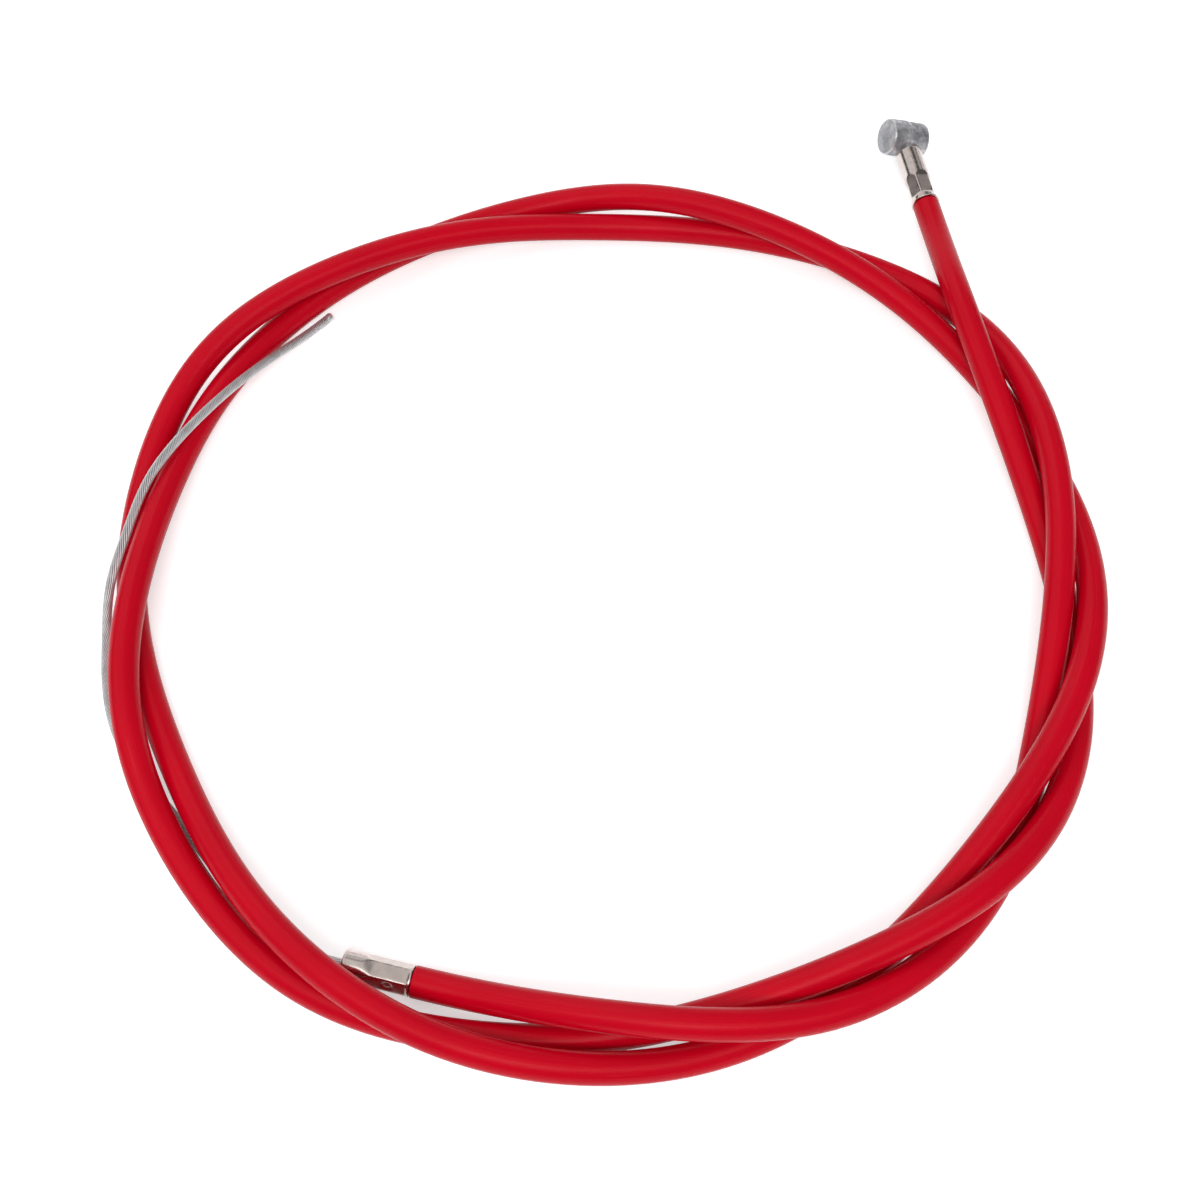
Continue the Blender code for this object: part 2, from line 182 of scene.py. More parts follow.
class WireSettings(PropertyGroup):
    diameter: FloatProperty(
        name="Wire diameter", description="Diameter over the outer strands",
        default=0.0016, unit="LENGTH", precision=5)
    outer_strands: IntProperty(
        name="Outer strands", description="Strands in the outer layer", default=12, min=6)
    lay_length: FloatProperty(
        name="Lay length", description="Length in which a strand goes once round the wire",
        default=0.0120, unit="LENGTH", precision=4)
    fused_length: FloatProperty(
        name="Fused length", description="Length of the tip whose strands are fused together",
        default=0.0022, unit="LENGTH", precision=4)
    steel: FloatVectorProperty(
        name="Steel", description="Colour of the galvanised strands", subtype="COLOR",
        size=3, default=(0.74, 0.74, 0.75))


class FerruleSettings(PropertyGroup):
    diameter: FloatProperty(
        name="Ferrule diameter", description="Outside diameter of the uncrimped cup",
        default=0.0050, unit="LENGTH", precision=5)
    wall: FloatProperty(
        name="Wall", description="Thickness of the drawn metal", default=0.00033,
        unit="LENGTH", precision=5)
    crimp_apothem: FloatProperty(
        name="Crimp apothem", description="Distance from the axis to a crimped flat's outside",
        default=0.0022, unit="LENGTH", precision=5)
    lever_length: FloatProperty(
        name="Lever ferrule length", description="Length of the ferrule at the nipple end",
        default=0.0128, unit="LENGTH", precision=4)
    brake_length: FloatProperty(
        name="Brake ferrule length", description="Length of the ferrule at the bare wire's end",
        default=0.0110, unit="LENGTH", precision=4)
    nickel: FloatVectorProperty(
        name="Nickel", description="Colour of the plating", subtype="COLOR",
        size=3, default=(0.70, 0.62, 0.59))


class NippleSettings(PropertyGroup):
    diameter: FloatProperty(
        name="Nipple diameter", description="Diameter of the barrel", default=0.0070,
        unit="LENGTH", precision=4)
    length: FloatProperty(
        name="Nipple length", description="Length of the barrel", default=0.0080,
        unit="LENGTH", precision=4)
    roll: FloatProperty(
        name="Roll", description="Lift of the barrel's left end about the wire",
        default=math.radians(21), subtype="ANGLE")
    zinc: FloatVectorProperty(
        name="Zinc", description="Colour of the cast metal", subtype="COLOR",
        size=3, default=(0.56, 0.56, 0.59))


class StudioSettings(PropertyGroup):
    camera_height: FloatProperty(
        name="Camera height", description="Height of the camera over the floor",
        default=0.254, unit="LENGTH", precision=3)
    camera_tilt: FloatProperty(
        name="Camera tilt", description="Turn of the camera from straight down",
        default=math.radians(27.4), subtype="ANGLE")
    lens: FloatProperty(name="Lens", description="Focal length in millimetres", default=50.0)
    floor_width: FloatProperty(
        name="Floor width", description="Width of the floor", default=6.0, unit="LENGTH")


SETTINGS = {
    "cable_housing": HousingSettings,
    "cable_wire": WireSettings,
    "cable_ferrules": FerruleSettings,
    "cable_nipple": NippleSettings,
    "cable_studio": StudioSettings,
}


# Lines

def smooth_line(route, first_axis, last_axis, count):
    """Points at even steps of a smooth curve through the route, leaving its ends along the two axes."""
    points = np.array(route)
    spans = len(points) - 1
    step = float(np.linalg.norm(np.diff(points, axis=0), axis=1).sum()) / spans
    system = np.eye(spans + 1)
    slopes = np.zeros_like(points)
    slopes[0] = step * np.array(first_axis)
    slopes[-1] = step * np.array(last_axis)
    for k in range(1, spans):
        system[k, k - 1:k + 2] = (1.0, 4.0, 1.0)
        slopes[k] = 3.0 * (points[k + 1] - points[k - 1])
    slopes = np.linalg.solve(system, slopes)
    place = np.linspace(0.0, spans, count)
    k = np.minimum(place.astype(int), spans - 1)
    t = (place - k)[:, None]
    return ((2 * t**3 - 3 * t**2 + 1) * points[k] + (3 * t**2 - 2 * t**3) * points[k + 1]
            + (t**3 - 2 * t**2 + t) * slopes[k] + (t**3 - t**2) * slopes[k + 1])


def lever_mouth():
    return Vector(np.array(HOUSING_ROUTE[0]) - LAY_CENTRE)


def brake_mouth():
    return Vector(np.array(HOUSING_ROUTE[-1]) - LAY_CENTRE)


def along(line):
    """Distance from the line's start at each of its points."""
    return np.concatenate([[0.0], np.cumsum(np.linalg.norm(np.diff(line, axis=0), axis=1))])


def even_line(route, first_axis, last_axis, gap):
    """The smooth curve through a route, with its points about a gap apart."""
    length = float(along(smooth_line(route, first_axis, last_axis, ROUGH_POINTS))[-1])
    return smooth_line(route, first_axis, last_axis, round(length / gap) + 1)


def housing_line(gap):
    return even_line(HOUSING_ROUTE, LEVER_AXIS, BRAKE_AXIS, gap) - LAY_CENTRE


def bared_line(gap, stop):
    """The housing's line, carried on straight into both ferrules to a stop before their closed ends."""
    ferrules = bpy.context.scene.cable_ferrules
    ends = []
    for mouth, axis, length in ((lever_mouth(), -LEVER_AXIS, ferrules.lever_length),
                                (brake_mouth(), BRAKE_AXIS, ferrules.brake_length)):
        steps = np.arange(length - stop, gap / 2, -gap)
        ends.append([mouth + float(step) * axis for step in steps])
    return np.vstack([ends[0], housing_line(gap), ends[1][::-1]])


def housed_wire_line(gap):
    """The wire's line from the lever ferrule's mouth to the brake ferrule's closed end."""
    length = bpy.context.scene.cable_ferrules.brake_length
    steps = np.linspace(length / 4, length, 4)
    return np.vstack([housing_line(gap), [brake_mouth() + float(step) * BRAKE_AXIS for step in steps]])


def cut_ends(line):
    """The jacket's line with close stations at its cut ends, and the rounding of its edge at each."""
    places, rounding = zip(*JACKET_EDGE)
    first = [line[0] + place * np.array(LEVER_AXIS) for place in places]
    last = [line[-1] - place * np.array(BRAKE_AXIS) for place in reversed(places)]
    middle = np.zeros(len(line) - 2)
    return np.vstack([first, line[1:-1], last]), np.concatenate([rounding, middle, rounding[::-1]])


def tail_line(gap):
    """The bare wire's line, from the brake ferrule's closed end to the tip."""
    end = brake_mouth() + bpy.context.scene.cable_ferrules.brake_length * BRAKE_AXIS
    route = [Vector(np.array(point) - LAY_CENTRE) for point in TAIL_ROUTE]
    route.insert(0, end + STRAIGHT_WIRE * BRAKE_AXIS)
    steps = np.arange(0.0, STRAIGHT_WIRE - gap / 2, gap)
    straight = [end + float(step) * BRAKE_AXIS for step in steps]
    return np.vstack([straight, even_line(route, BRAKE_AXIS, TIP_AXIS, gap)])


def bare_strand_line():
    """The tail's line for its strands, which start two steps inside the brake ferrule's closed end."""
    line = tail_line(STRAND_STEP)
    inside = [line[0] - rings * STRAND_STEP * np.array(BRAKE_AXIS) for rings in (2, 1)]
    return np.vstack([inside, line])


def cross_frames(line):
    """Two directions across the line at each of its points, carried along it without twist."""
    runs = np.gradient(line, axis=0)
    runs /= np.linalg.norm(runs, axis=1)[:, None]
    first = np.cross(runs[0], (0.0, 0.0, 1.0))
    across = [first / np.linalg.norm(first)]
    for run in runs[1:]:
        kept = across[-1] - run * float(across[-1] @ run)
        across.append(kept / np.linalg.norm(kept))
    across = np.array(across)
    return across, np.cross(across, runs)


# Meshes

def grid_faces(rows, columns, first=0, flip=False):
    """Quads between rows of points, each row closed into a ring."""
    k = np.arange(columns)
    j = (k + 1) % columns
    base = first + np.arange(rows - 1)[:, None] * columns
    quads = np.stack([base + k, base + j, base + columns + j, base + columns + k], axis=-1)
    quads = quads.reshape(-1, 4)
    return quads[:, ::-1] if flip else quads


def ring_faces(outer, inner, columns, flip=False):
    """Quads that close a wall between two rings, given by their first points."""
    k = np.arange(columns)
    j = (k + 1) % columns
    quads = np.stack([outer + j, outer + k, inner + k, inner + j], axis=-1)
    return quads[:, ::-1] if flip else quads


def sweep(line, radii, sides):
    """Rings of points round a line, and the same rings as if the line lay straight along Z."""
    across, over = cross_frames(line)
    angles = np.arange(sides) * 2 * math.pi / sides
    cosine, sine = np.cos(angles), np.sin(angles)
    radii = np.broadcast_to(np.asarray(radii, float).reshape(-1, 1), (len(line), sides))
    points = (line[:, None] + (radii * cosine)[..., None] * across[:, None]
              + (radii * sine)[..., None] * over[:, None])
    heights = np.repeat(along(line)[:, None], sides, axis=1)
    straight = np.stack([radii * cosine, radii * sine, heights], axis=-1)
    return points.reshape(-1, 3), straight.reshape(-1, 3)


def mesh_piece(name, points, faces, straight=None, sharp=40.0):
    """A smooth-shaded mesh object. Its attribute called place holds the straightened points."""
    mesh = bpy.data.meshes.new(name)
    mesh.from_pydata([tuple(p) for p in points], [], [tuple(int(i) for i in f) for f in faces])
    mesh.validate()
    mesh.update()
    place = mesh.attributes.new("place", "FLOAT_VECTOR", "POINT")
    places = np.asarray(points if straight is None else straight, np.float32)
    place.data.foreach_set("vector", places.ravel())
    mesh.shade_smooth()
    mesh.set_sharp_from_angle(angle=math.radians(sharp))
    obj = bpy.data.objects.new(name, mesh)
    bpy.context.scene.collection.objects.link(obj)
    return obj


def pipe_piece(name, line, outer, inner, sides):
    """A tube with an open bore."""
    rows = len(line)
    outside, outside_flat = sweep(line, outer, sides)
    inside, inside_flat = sweep(line, inner, sides)
    count = rows * sides
    faces = np.vstack([
        grid_faces(rows, sides),
        grid_faces(rows, sides, count, flip=True),
        ring_faces(0, count, sides),
        ring_faces(count - sides, 2 * count - sides, sides, flip=True),
    ])
    return mesh_piece(name, np.vstack([outside, inside]), faces, np.vstack([outside_flat, inside_flat]))


def joined_tubes(name, tubes):
    """Several capped tubes in one mesh, each given by its line, its radii and its number of sides."""
    points, straight, faces = [], [], []
    start = 0
    for line, radii, sides in tubes:
        ring, flat = sweep(line, radii, sides)
        points.append(ring)
        straight.append(flat)
        faces += [tuple(f) for f in grid_faces(len(line), sides, start)]
        faces.append(tuple(range(start + sides - 1, start - 1, -1)))
        last = start + (len(line) - 1) * sides
        faces.append(tuple(range(last, last + sides)))
        start += len(ring)
    return mesh_piece(name, np.vstack(points), faces, np.vstack(straight))


# Materials

# Sockets of a Mix node that mixes colours
FIRST_COLOUR, SECOND_COLOUR, MIXED_COLOUR = 6, 7, 2


class Value:
    """A number in a node tree. Arithmetic on it adds Math nodes."""

    def __init__(self, nodes, socket):
        self.nodes = nodes
        self.socket = socket

    def __add__(self, other):
        return self.nodes.math("ADD", self, other)

    def __radd__(self, other):
        return self.nodes.math("ADD", other, self)

    def __sub__(self, other):
        return self.nodes.math("SUBTRACT", self, other)

    def __rsub__(self, other):
        return self.nodes.math("SUBTRACT", other, self)

    def __mul__(self, other):
        return self.nodes.math("MULTIPLY", self, other)

    def __rmul__(self, other):
        return self.nodes.math("MULTIPLY", other, self)

    def __truediv__(self, other):
        return self.nodes.math("DIVIDE", self, other)

    def __rtruediv__(self, other):
        return self.nodes.math("DIVIDE", other, self)

    def __pow__(self, other):
        return self.nodes.math("POWER", self, other)

    def __rpow__(self, other):
        return self.nodes.math("POWER", other, self)

    def clamped(self):
        return self.nodes.math("ADD", self, 0.0, clamp=True)

    def between(self, low, high):
        """0 below low, 1 above high, and even in between."""
        return ((self - low) / (high - low)).clamped()


class Nodes:
    """Adds nodes to a material's or a world's tree."""

    def __init__(self, tree):
        self.tree = tree

    def node(self, kind, settings=None, sockets=None):
        """Add a node, set its settings, and then give each named socket its value or link."""
        node = self.tree.nodes.new(kind)
        for name, setting in (settings or {}).items():
            setattr(node, name, setting)
        for name, value in (sockets or {}).items():
            self.feed(node.inputs[name], value)
        return node

    def feed(self, socket, value):
        value = value.socket if isinstance(value, Value) else value
        if isinstance(value, bpy.types.NodeSocket):
            self.tree.links.new(value, socket)
        else:
            socket.default_value = value

    def value(self, kind, settings=None, sockets=None, output=0):
        return Value(self, self.node(kind, settings, sockets).outputs[output])

    def math(self, operation, *inputs, clamp=False):
        settings = {"operation": operation, "use_clamp": clamp}
        return self.value("ShaderNodeMath", settings, dict(enumerate(inputs)))

    def mix(self, factor, first, second):
        """Mix two colours, each given as three numbers or as a socket."""
        sockets = {0: factor, FIRST_COLOUR: self.colour(first), SECOND_COLOUR: self.colour(second)}
        return self.node("ShaderNodeMix", {"data_type": "RGBA"}, sockets).outputs[MIXED_COLOUR]

    def colour(self, value):
        return value if isinstance(value, bpy.types.NodeSocket) else (*value, 1.0)


class Finish(Nodes):
    """A material that ends in one Principled shader."""

    def __init__(self, name):
        self.material = bpy.data.materials.new(name)
        self.material.use_nodes = True
        super().__init__(self.material.node_tree)
        self.shader = self.tree.nodes["Principled BSDF"]

    def attribute(self, name):
        return self.node("ShaderNodeAttribute", {"attribute_name": name}).outputs["Vector"]

    def attribute_value(self, name):
        return self.value("ShaderNodeAttribute", {"attribute_name": name}, output="Fac")

    def axes(self, vector):
        """The three numbers of a vector."""
        parts = self.node("ShaderNodeSeparateXYZ", None, {0: vector})
        return [Value(self, parts.outputs[name]) for name in ("X", "Y", "Z")]

    def stretched(self, vector, scale):
        return self.node("ShaderNodeVectorMath", {"operation": "MULTIPLY"}, {0: vector, 1: scale}).outputs[0]

    def noise(self, vector, scale=1.0, detail=3.0, roughness=0.5):
        sockets = {"Vector": vector, "Scale": scale, "Detail": detail, "Roughness": roughness}
        return self.value("ShaderNodeTexNoise", None, sockets)

    def bump(self, height, distance):
        normal = self.node("ShaderNodeBump", None, {"Height": height, "Distance": distance}).outputs["Normal"]
        self.feed(self.shader.inputs["Normal"], normal)

    def set(self, **sockets):
        for name, value in sockets.items():
            self.feed(self.shader.inputs[name.replace("_", " ")], value)


def turns_of(finish, pitch):
    """Turns of a winding at a spot of a piece whose attribute called place lies straight along Z."""
    x, y, z = finish.axes(finish.attribute("place"))
    return z / pitch + finish.math("ARCTAN2", y, x) / (2 * math.pi)


def shade_of(colour, factor):
    return tuple(min(1.0, c * factor) for c in colour)


def jacket_finish(colour, roughness, pitch):
    """Extruded plastic: faint draw lines along it, and the strip's winding just telling through."""
    finish = Finish("red_jacket_plastic")
    place = finish.attribute("place")
    broad = finish.noise(place, scale=45.0)
    lines = finish.noise(finish.stretched(place, (2600.0, 2600.0, 18.0)), detail=2.0)
    grain = finish.noise(place, scale=5200.0, detail=2.0)
    winding = finish.math("SINE", turns_of(finish, pitch) * (2 * math.pi))
    scrapes = finish.noise(finish.stretched(place, (900.0, 900.0, 60.0)), detail=4.0, roughness=0.6)
    wear_and_glint = scrapes.between(0.66, 0.80)
    base = finish.mix(broad.between(0.35, 0.65), shade_of(colour, 0.95), shade_of(colour, 1.04))
    base = finish.mix(wear_and_glint * 0.10, base, (0.75, 0.10, 0.12))
    finish.set(Base_Color=base)
    finish.set(Roughness=roughness - 0.05 + lines * 0.06 + wear_and_glint * 0.10 + broad * 0.04)
    finish.bump(lines * 0.35 + grain * 0.25 + winding * 0.30, distance=0.000012)
    finish.set(Specular_IOR_Level=0.10)
    return finish.material


def strand_finish(colour):
    """Galvanised drawn wire: fine lines along it, dull patches, and painted shade down between the strands.
    """
    finish = Finish("galvanised_strands")
    place = finish.attribute("place")
    groove = finish.attribute_value("groove")
    lines = finish.noise(finish.stretched(place, (9000.0, 9000.0, 160.0)))
    patches = finish.noise(place, scale=420.0)
    base = finish.mix(patches.between(0.3, 0.7), shade_of(colour, 0.88), shade_of(colour, 1.12))
    # Painted shade, deepest down in the grooves between the strands
    base = finish.mix(groove ** 1.4, base, (0.035, 0.030, 0.026))
    finish.set(Base_Color=base, Metallic=0.85)
    finish.set(Roughness=0.30 + lines * 0.12 + patches * 0.06 + groove * 0.25)
    finish.bump(lines, distance=0.00001)
    return finish.material


def housed_wire_finish(colour):
    """The dark, greased steel of the wire inside the housing."""
    finish = Finish("housed_wire_steel")
    soot = finish.noise(finish.attribute("place"), scale=1500.0)
    finish.set(Base_Color=finish.mix(soot, shade_of(colour, 0.25), shade_of(colour, 0.45)), Metallic=0.9)
    finish.set(Roughness=0.45 + soot * 0.2)
    return finish.material


def casing_finish(pitch):
    """Flat spring strip wound edge to edge: a groove along the helix between its turns."""
    finish = Finish("wound_strip_steel")
    offset = finish.math("FRACT", turns_of(finish, pitch) + 9.0) - 0.5
    groove = finish.math("ABSOLUTE", offset).between(0.44, 0.49)
    scale = finish.noise(finish.attribute("place"), scale=900.0)
    finish.set(Base_Color=finish.mix(groove, (0.34, 0.33, 0.32), (0.04, 0.035, 0.03)), Metallic=1.0)
    finish.set(Roughness=0.34 + scale * 0.2)
    finish.bump(1.0 - groove, distance=0.0001)
    return finish.material


def liner_finish():
    """Pale, slightly hazy plastic."""
    finish = Finish("liner_plastic")
    haze = finish.noise(finish.attribute("place"), scale=700.0)
    finish.set(Base_Color=finish.mix(haze, (0.70, 0.69, 0.64), (0.80, 0.79, 0.75)))
    finish.set(Roughness=0.42 + haze * 0.1)
    finish.bump(haze, distance=0.00001)
    return finish.material


def nickel_finish(colour):
    """Bright nickel over pressed steel: rougher in the crimped flats and darkened there as a painted dark
    reflection, with fine press marks.
    """
    finish = Finish("ferrule_nickel")
    place = finish.attribute("place")
    press_depth_and_glint = finish.attribute_value("press_depth_and_glint")
    smears = finish.noise(finish.stretched(place, (700.0, 700.0, 1600.0)), detail=4.0, roughness=0.6)
    marks = finish.noise(place, scale=5200.0, detail=2.0)
    tarnish = finish.noise(place, scale=900.0).between(0.45, 0.75)
    # Painted dark reflection: the crimped flats are darkened by how deep they are pressed
    base = finish.mix(press_depth_and_glint * 0.35, colour, (0.38, 0.32, 0.29))
    base = finish.mix(tarnish * 0.30, base, (0.36, 0.29, 0.25))
    finish.set(Base_Color=base, Metallic=1.0)
    finish.set(Roughness=0.15 + press_depth_and_glint * 0.08 + smears * 0.14)
    finish.bump(smears * 0.7 + marks * 0.3, distance=0.000007)
    return finish.material


def zinc_finish(colour):
    """Die-cast zinc straight from the mould: mottled, pitted and dull, with painted highlights at its seam,
    rims and one glint, and painted shade on its raised end face.
    """
    finish = Finish("nipple_cast_zinc")
    place = finish.attribute("place")
    mottle = finish.noise(place, scale=900.0, detail=5.0, roughness=0.65)
    pits = finish.noise(place, scale=2600.0).between(0.30, 0.45)
    wear_and_glint = finish.attribute_value("press_depth_and_glint")
    patches = finish.noise(place, scale=330.0, roughness=0.6)
    shaded_end_face = finish.axes(place)[0].between(0.0036, 0.0040)
    base = finish.mix(mottle.between(0.36, 0.66), shade_of(colour, 0.62), shade_of(colour, 1.36))
    base = finish.mix(patches.between(0.50, 0.62) * 0.70, base, shade_of(colour, 0.34))
    # Painted shade: the raised end face is darkened
    base = finish.mix(shaded_end_face * 0.60, base, shade_of(colour, 0.42))
    # Painted highlights: near white where the barrel's mask marks its seam, rims and glint
    base = finish.mix(wear_and_glint.clamped(), base, (0.95, 0.95, 0.97))
    base = finish.mix((1.0 - pits) * 0.35, base, shade_of(colour, 0.4))
    finish.set(Base_Color=base, Metallic=0.75)
    finish.set(Roughness=0.34 - wear_and_glint * 0.14 + mottle * 0.20)
    finish.bump(mottle * 0.6 + pits * 0.4, distance=0.00007)
    return finish.material


# Pieces

def dress(piece, finish, slot, body, *nodes):
    """Give a piece its finish, put it on its body and let it stand for its CAD nodes."""
    piece.data.materials.append(finish)
    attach(piece, body)
    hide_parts(*nodes)
    return piece


def mark(piece, name, values):
    """Give each point of a piece a number that its finish reads."""
    attribute = piece.data.attributes.new(name, "FLOAT", "POINT")
    attribute.data.foreach_set("value", np.asarray(values, np.float32))


def smooth_step(x):
    x = np.clip(x, 0.0, 1.0)
    return x * x * (3 - 2 * x)


class Crimp(NamedTuple):
    """How a ferrule's wall is pressed. Its flats start and end at distances from the closed end."""
    ferrule_length: float
    start: float
    first_ramp: float
    end: float
    last_ramp: float
    turn: float
    lip: float
    softness: float
    wave: float


class Dent(NamedTuple):
    """A small dent in a ferrule's wall: distance from the closed end, angle from up, radius and depth."""
    place: float
    angle: float
    size: float
    depth: float
    ringed: bool


LEVER_DENT = Dent(place=0.0116, angle=math.radians(-48), size=0.0007, depth=0.00025, ringed=False)
BRAKE_DENT = Dent(place=0.0076, angle=math.radians(60), size=0.0008, depth=0.00016, ringed=True)


def lever_crimp(length):
    """The nipple end's crimp: crisp flats between two round stretches, and a rolled lip."""
    return Crimp(
        ferrule_length=length, start=length - 0.0070, first_ramp=0.0015, end=length - 0.0008,
        last_ramp=0.0007, turn=math.radians(21), lip=0.0002, softness=0.00004, wave=0.00001)


def brake_crimp(length):
    """The bare wire end's crimp: soft flats that deepen slowly and run out at the mouth."""
    return Crimp(
        ferrule_length=length, start=length - 0.0094, first_ramp=0.0036, end=length + 0.0003,
        last_ramp=0.0010, turn=math.radians(32), lip=0.00002, softness=0.00007, wave=0.00003)


def crimp_depth(crimp, s):
    """How far the jaws press at a distance from the closed end, from 0 to 1."""
    rise = smooth_step((s - crimp.start) / crimp.first_ramp)
    fall = smooth_step((crimp.end - s) / crimp.last_ramp)
    return rise * fall


def crimped_radius(base, apothem, angles, crimp):
    """Radius round a wall pressed in to six flats, rounded where a flat meets the wall or its neighbour."""
    sector = math.pi / 3
    off_flat = (angles - crimp.turn) % sector - sector / 2
    over = (apothem / np.cos(off_flat) - base) / crimp.softness
    return base - crimp.softness * np.log1p(np.exp(-over))


def dent_depth(dent, s, angles, radius):
    """How far a dent presses the wall in, round the cup at a distance from its closed end."""
    sideways = ((angles - dent.angle + math.pi) % (2 * math.pi) - math.pi) * radius
    off = np.hypot(s - dent.place, sideways) / dent.size
    shape = np.exp(-((off - 0.75) / 0.28) ** 2) if dent.ringed else np.exp(-(off ** 2))
    return dent.depth * shape


def ferrule_wall(crimp, outer, apothem):
    """Outer wall as rows of (distance from the closed end, round radius, distance of the flats)."""
    clear = outer + 5 * crimp.softness
    rows = []
    for turn in np.linspace(0, math.pi / 2, 7):
        rows.append((CUP_RIM * (1 - math.cos(turn)), outer - CUP_RIM * (1 - math.sin(turn)), clear))
    stations = [(s, 0.0) for s in np.linspace(CUP_RIM + 0.0002, crimp.ferrule_length - 0.00042, 66)]
    stations += [(crimp.ferrule_length - place, crimp.lip * share) for place, share in LIP_PROFILE]
    for s, proud in stations:
        flats = clear - (clear - apothem) * crimp_depth(crimp, s)
        rows.append((s, outer + proud, flats + proud))
    return rows


def ferrule_piece(name, end, inward, crimp, dent):
    """A crimped cup: outer wall from the closed end to the mouth, inner wall and pierced floor."""
    settings = bpy.context.scene.cable_ferrules
    outer = settings.diameter / 2
    side = inward.cross(UP).normalized()
    angles = np.arange(CUP_SIDES) * 2 * math.pi / CUP_SIDES
    spokes = np.cos(angles)[:, None] * np.array(UP) + np.sin(angles)[:, None] * np.array(side)
    walls, press_depth_and_glint = [], []
    for s, radius, flats in ferrule_wall(crimp, outer, settings.crimp_apothem):
        wave = crimp.wave * math.sin(s * 2600.0) * np.sin(3 * angles + s * 900.0)
        ring = crimped_radius(radius, flats + wave, angles, crimp) - dent_depth(dent, s, angles, outer)
        walls.append((s, ring))
        press_depth_and_glint.append(smooth_step((radius - ring) / FULL_PRESS))
    hole = np.full(CUP_SIDES, bpy.context.scene.cable_wire.diameter / 2 + WIRE_CLEARANCE)
    bore = [(s, ring - settings.wall) for s, ring in reversed(walls) if s > CUP_FLOOR]
    layout = [(0.0, hole), *walls, *bore, (CUP_FLOOR, bore[-1][1]), (CUP_FLOOR, hole)]
    points = np.vstack([np.array(end) + s * np.array(inward) + ring[:, None] * spokes for s, ring in layout])
    straight = np.vstack([
        np.column_stack([ring * np.cos(angles), ring * np.sin(angles), np.full(CUP_SIDES, s)])
        for s, ring in layout])
    faces = np.vstack([grid_faces(len(layout), CUP_SIDES),
                       ring_faces(0, (len(layout) - 1) * CUP_SIDES, CUP_SIDES)])
    piece = mesh_piece(name, points, faces, straight, sharp=50.0)
    # How deep each point of the outer wall is pressed, for the finish's roughness and its painted dark
    # reflection in the flats
    mask = np.zeros(len(points))
    mask[CUP_SIDES:(len(walls) + 1) * CUP_SIDES] = np.concatenate(press_depth_and_glint)
    mark(piece, "press_depth_and_glint", mask)
    return piece


def nipple_frame(settings):
    """The barrel's own axes in the part's frame: along it to its raised end, the pull, and across."""
    pull = -LEVER_AXIS
    left = UP.cross(pull)
    barrel = math.cos(settings.roll) * left + math.sin(settings.roll) * UP
    return Matrix((barrel, pull, barrel.cross(pull))).transposed()


def nipple_centre():
    scene = bpy.context.scene
    end = lever_mouth() - scene.cable_ferrules.lever_length * LEVER_AXIS
    return end - (scene.cable_nipple.diameter / 2 + NIPPLE_GAP) * LEVER_AXIS


def nipple_rows(half_length, radius):
    """Profile of the barrel as (place along it, radius), closed at both ends on its axis."""
    disc = np.linspace(0.00001, radius - NIPPLE_EDGE - NIPPLE_DRAFT, 12)
    end = [(-half_length, r) for r in disc]
    for turn in np.linspace(0.15, math.pi / 2, 7):
        x = -half_length + NIPPLE_EDGE * (1 - math.cos(turn))
        end.append((x, radius - NIPPLE_DRAFT - NIPPLE_EDGE * (1 - math.sin(turn))))
    reach = half_length - NIPPLE_EDGE - 0.0002
    body = [(x, radius - NIPPLE_DRAFT * abs(x) / half_length) for x in np.linspace(-reach, reach, 46)]
    return end + body + [(-x, r) for x, r in reversed(end)]


def bell(off, width):
    """1 at the middle of a band and 0 well off it."""
    return math.exp(-(off / width) ** 2)


